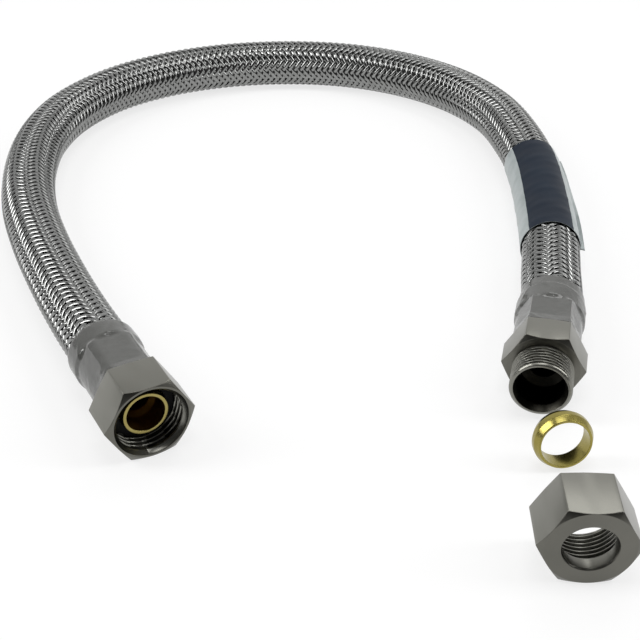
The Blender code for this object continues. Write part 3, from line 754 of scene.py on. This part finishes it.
hex_angles, hex_radius = hexagon(MALE_FLATS)
male_barb = MALE_HEX_END - COLLAR_LENGTH
male_profile = [
    (THREAD_TOP - 0.6, THREAD_END, 0.06),
    (THREAD_TOP, 9.4, 0),
    *thread(hex_angles, *MALE_THREAD, THREAD_PITCH, THREAD_TOP, THREAD_ROOT, run_out=0.35),
    (THREAD_ROOT, 0.7, 0.1),
    (THREAD_ROOT, 0.0, 0.05),
    *hex_ends(hex_radius, MALE_FLATS, 0.0, MALE_HEX_END),
    (COLLAR_RADIUS, MALE_HEX_END, 0.1),
    (COLLAR_RADIUS, male_barb, 0.2),
    (BARB_RADIUS, male_barb, 0),
    *barb(male_barb),
    (WATERWAY, male_barb - BARB_LENGTH, 0.1),
    (WATERWAY, SOCKET_BOTTOM - 1.2, 0.1),
    (SOCKET_RADIUS, SOCKET_BOTTOM, 0.1),
    (SOCKET_RADIUS, SEAT_BOTTOM, 0.1),
    (SEAT_RADIUS, THREAD_END, 0.08),
]
male = revolve("plated_male_fitting", male_profile, hex_angles, nickel_and_painted_shades, male_place)
# Painted shade: near-black nickel down the socket and the waterway.
paint_shade(male, inner=0.0, outer=SOCKET_RADIUS + 0.9, bottom=-40.0, top=9.6)
# Painted shade: near-black nickel in the roots of the outer thread.
paint_shade(male, inner=7.6, outer=THREAD_ROOT + 0.3, bottom=-0.3, top=9.3)
# Painted shade: darker nickel on the hexagon's front face.
paint_shade(male, inner=THREAD_ROOT + 0.9, outer=20.0, bottom=-1.0, top=0.1, which=2)
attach(male, "hose")
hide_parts("male_fitting")

# Compression sleeve: ring of soft brass, tapered both ways from a middle band. It is bright and smooth,
# and lies loose in front of the fitting, which it seals to the supply pipe once the nut squeezes it.
SLEEVE_CENTRE = (76.6, -110.0)
SLEEVE_HEADING = 7.0
SLEEVE_LEAN = math.radians(8.0)
SLEEVE_HEIGHT = 8.05
SLEEVE_RADIUS = 8.0
SLEEVE_BORE = 6.5
SLEEVE_HALF = 2.8
SLEEVE_BAND = 0.9
SLEEVE_END = 7.15

sleeve_brass = finish(
    "sleeve_brass", dark=(0.28, 0.235, 0.06), light=(0.34, 0.29, 0.085), grain=260,
    metallic=1.0, rough=(0.22, 0.3), relief=0.08, relief_grain=500,
    stretch=(0.05, 0.05, 6.0),
)
sleeve_profile = [
    (SLEEVE_END, SLEEVE_HALF, 0.08),
    (SLEEVE_RADIUS, SLEEVE_BAND, 0.1),
    (SLEEVE_RADIUS, -SLEEVE_BAND, 0.1),
    (SLEEVE_END, -SLEEVE_HALF, 0.08),
    (SLEEVE_BORE, -SLEEVE_HALF, 0.15),
    (SLEEVE_BORE, SLEEVE_HALF, 0.15),
]
sleeve_place = end_place(SLEEVE_CENTRE, SLEEVE_HEIGHT, SLEEVE_HEADING, SLEEVE_LEAN)
sleeve = revolve("brass_sleeve", sleeve_profile, round_angles, [sleeve_brass], sleeve_place)
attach(sleeve, "hose")
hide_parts("compression_sleeve")

# Compression nut: short hexagonal nut, threaded from the hose's side, with a plain hole for the supply pipe
# in front. Brass, nickel plated, and lying loose on one flat in front of the sleeve.
LOOSE_FACE = (75.6, -152.9)
LOOSE_HEADING = -1.4
LOOSE_FLATS = 21.8
LOOSE_END = -14.2
LOOSE_HOLE = 6.55
LOOSE_MINOR = 8.15
LOOSE_MAJOR = 8.73
LOOSE_MOUTH = 8.85
LOOSE_SEAT = -3.6
LOOSE_THREAD = -5.4

hex_angles, hex_radius = hexagon(LOOSE_FLATS)
loose_thread = thread(
    hex_angles, LOOSE_THREAD, LOOSE_END + 1.0, THREAD_PITCH, LOOSE_MINOR, LOOSE_MAJOR, run_out=0.4
)
loose_profile = [
    *hex_ends(hex_radius, LOOSE_FLATS, 0.0, LOOSE_END),
    (LOOSE_MOUTH, LOOSE_END, 0.08),
    (LOOSE_MINOR, LOOSE_END + 0.9, 0),
    *loose_thread[::-1],
    (LOOSE_HOLE, LOOSE_SEAT, 0.1),
    (LOOSE_HOLE, -0.5, 0.1),
    (LOOSE_HOLE + 0.3, 0.0, 0.1),
]
loose_place = end_place(LOOSE_FACE, LOOSE_FLATS / 2, LOOSE_HEADING)
loose = revolve("plated_compression_nut", loose_profile, hex_angles, nickel_and_painted_shades, loose_place)
# Painted shade: near-black nickel deep in the thread.
paint_shade(loose, inner=8.6, outer=LOOSE_MAJOR + 0.1, bottom=LOOSE_END + 0.3, top=-5.0)
# Painted shade: darker nickel on the nut's front face.
paint_shade(loose, inner=LOOSE_HOLE + 0.1, outer=20.0, bottom=-1.0, top=0.1, which=2)
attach(loose, "hose")
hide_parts("compression_nut")

# The braided hose's centreline as a path of points, and the spot where it leaves the back of the swivel
# ferrule; it ends in the male fitting, which moves with it. It is stiff enough to keep the open loop that it
# was bent to.
FERRULE_BACK = 17.05
PATH_POINTS = 56

line_along = np.linspace(0.0, hose_length, PATH_POINTS)
line_path = on_hose(line_along, np.zeros(PATH_POINTS), np.zeros(PATH_POINTS))
leaves = on_hose(np.array([FERRULE_BACK]), np.zeros(1), np.zeros(1))[0]

# Studio: a plain white floor that keeps the hose's soft shadow, and a room that is bright behind the hose
# and dark in front. A soft lamp hangs above, one stands at each side, and a small one lights the nuts' tops.
FLOOR_PAPER = 0.9
FLOOR_WHITE = 1.05
FLOOR_SHARE = 0.7
ROOM_TURN = (0.0, 0.85)
ROOM_LIGHT = (0.08, 0.9)
LAMPS = (
    ("lamp_above", (0.0, -0.07, 1.0), (0.5, 0.45), 2.5),
    ("lamp_left", (-0.8, -0.05, 0.6), (0.25, 0.8), 5.0),
    ("lamp_right", (0.8, -0.1, 0.6), (0.25, 0.8), 4.0),
    ("lamp_back", (0.21, 0.286, 0.55), (0.26, 0.2), 0.36),
)

floor_mesh = bpy.data.meshes.new("floor")
floor_mesh.from_pydata([(-3, -2, 0), (3, -2, 0), (3, 6, 0), (-3, 6, 0)], [], [(0, 1, 2, 3)])
floor = bpy.data.objects.new("floor", floor_mesh)
bpy.context.scene.collection.objects.link(floor)
paper = bpy.data.materials.new("floor_paper")
paper.use_nodes = True
nodes, links = paper.node_tree.nodes, paper.node_tree.links
nodes["Principled BSDF"].inputs["Base Color"].default_value = (FLOOR_PAPER, FLOOR_PAPER, FLOOR_PAPER, 1.0)
nodes["Principled BSDF"].inputs["Roughness"].default_value = 0.8
nodes["Principled BSDF"].inputs["Specular IOR Level"].default_value = 0.1
white = nodes.new("ShaderNodeEmission")
white.inputs["Strength"].default_value = FLOOR_WHITE
rays = nodes.new("ShaderNodeLightPath")
camera_or_gloss = nodes.new("ShaderNodeMath")
camera_or_gloss.operation = "MAXIMUM"
links.new(rays.outputs["Is Camera Ray"], camera_or_gloss.inputs[0])
links.new(rays.outputs["Is Glossy Ray"], camera_or_gloss.inputs[1])
any_seen = nodes.new("ShaderNodeMath")
any_seen.operation = "MAXIMUM"
links.new(camera_or_gloss.outputs[0], any_seen.inputs[0])
links.new(rays.outputs["Is Transmission Ray"], any_seen.inputs[1])
share = nodes.new("ShaderNodeMath")
share.operation = "MULTIPLY"
share.inputs[1].default_value = FLOOR_SHARE
links.new(any_seen.outputs[0], share.inputs[0])
blend = nodes.new("ShaderNodeMixShader")
links.new(share.outputs[0], blend.inputs["Fac"])
links.new(nodes["Principled BSDF"].outputs["BSDF"], blend.inputs[1])
links.new(white.outputs["Emission"], blend.inputs[2])
links.new(blend.outputs["Shader"], nodes["Material Output"].inputs["Surface"])
floor_mesh.materials.append(paper)

world = bpy.data.worlds.new("studio")
bpy.context.scene.world = world
world.use_nodes = True
nodes, links = world.node_tree.nodes, world.node_tree.links
ray_way = nodes.new("ShaderNodeSeparateXYZ")
links.new(nodes.new("ShaderNodeTexCoord").outputs["Generated"], ray_way.inputs["Vector"])
room = nodes.new("ShaderNodeMapRange")
for socket, value in zip(("From Min", "From Max", "To Min", "To Max"), (*ROOM_TURN, *ROOM_LIGHT)):
    room.inputs[socket].default_value = value
links.new(ray_way.outputs["Y"], room.inputs["Value"])
links.new(room.outputs["Result"], nodes["Background"].inputs["Strength"])
nodes["Background"].inputs["Color"].default_value = (1.0, 1.0, 1.0, 1.0)
for name, spot, size, power in LAMPS:
    lamp_data = bpy.data.lights.new(name, "AREA")
    lamp_data.shape = "RECTANGLE"
    lamp_data.size, lamp_data.size_y = size
    lamp_data.energy = power
    lamp = bpy.data.objects.new(name, lamp_data)
    bpy.context.scene.collection.objects.link(lamp)
    lamp.location = spot
    lamp.rotation_euler = (-Vector(spot)).to_track_quat("-Z", "Y").to_euler()

# Camera: in front of the open ends and above them, looking down across the loop, as someone sees the hose
# who has laid it on a bench.
CAMERA_PLACE = (0.0134, -0.3518, 0.2086)
CAMERA_TILT = math.radians(56.0)
CAMERA_LENS = 67.5

camera_data = bpy.data.cameras.new("camera")
camera_data.sensor_width = 36.0
camera_data.lens = CAMERA_LENS
camera_data.clip_start = 0.01
camera = bpy.data.objects.new("camera", camera_data)
bpy.context.scene.collection.objects.link(camera)
camera.location = CAMERA_PLACE
camera.rotation_euler = (CAMERA_TILT, 0.0, 0.0)
bpy.context.scene.camera = camera
bpy.context.scene.view_settings.view_transform = "Standard"
